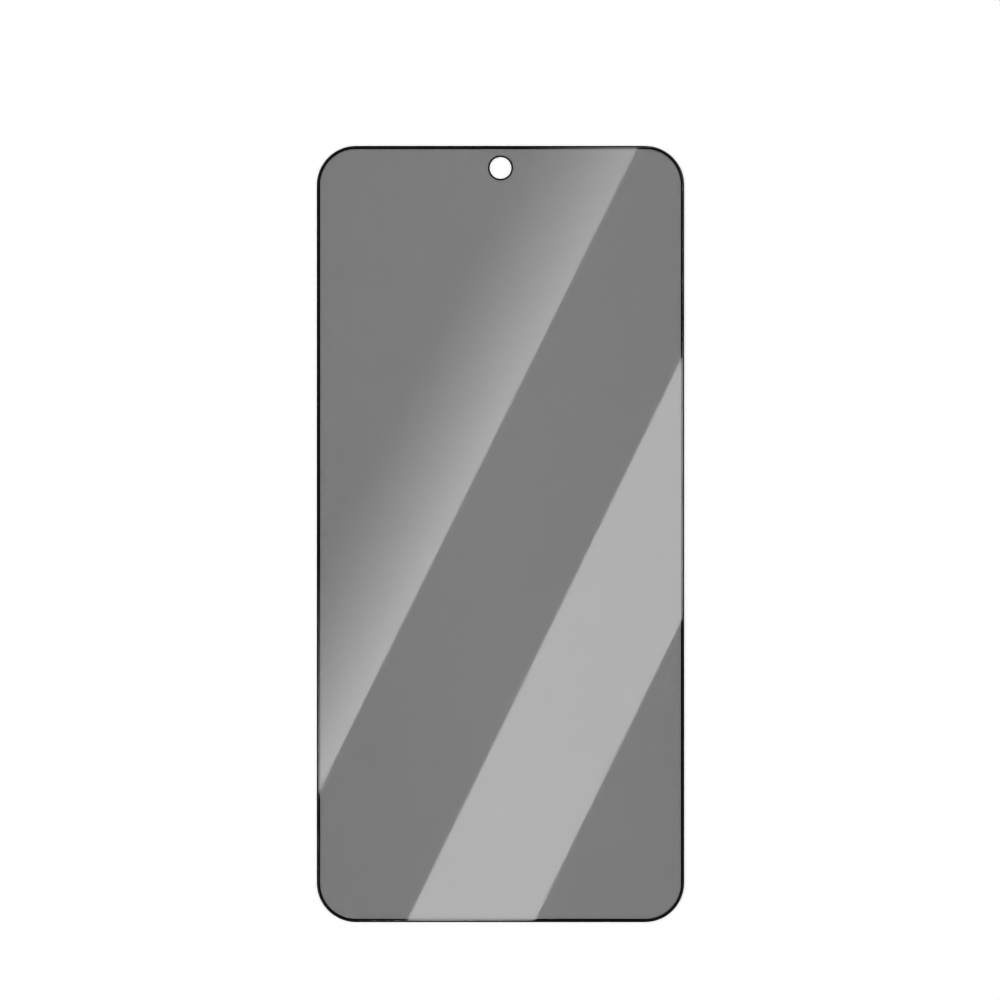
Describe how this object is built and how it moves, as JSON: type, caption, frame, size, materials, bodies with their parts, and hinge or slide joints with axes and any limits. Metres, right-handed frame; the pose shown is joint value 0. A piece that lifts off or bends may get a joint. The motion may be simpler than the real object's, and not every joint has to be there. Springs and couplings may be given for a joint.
{
  "type": "phone privacy screen protector",
  "caption": "Thin glass sheet with round corners, a grey privacy film, a black printed edge and a round camera hole, which sticks over the screen of a phone.",
  "frame": {"origin": "middle of the adhesive back, where the protector meets the screen", "axes": "+X across the phone, +Y along the phone towards the camera hole, +Z out of the screen through the glass face"},
  "size_m": [0.072, 0.1522, 0.0005],
  "materials": {
    "glass": "clear tempered glass, polished, with a ground front edge",
    "ink": "black screen-printed ink",
    "film": "grey louvred privacy film",
    "adhesive": "clear silicone adhesive"
  },
  "bodies": {
    "root": {"tempered_glass": "glass", "black_border": "ink", "camera_ring": "ink", "privacy_film": "film", "screen_adhesive": "adhesive"}
  },
  "joints": []
}
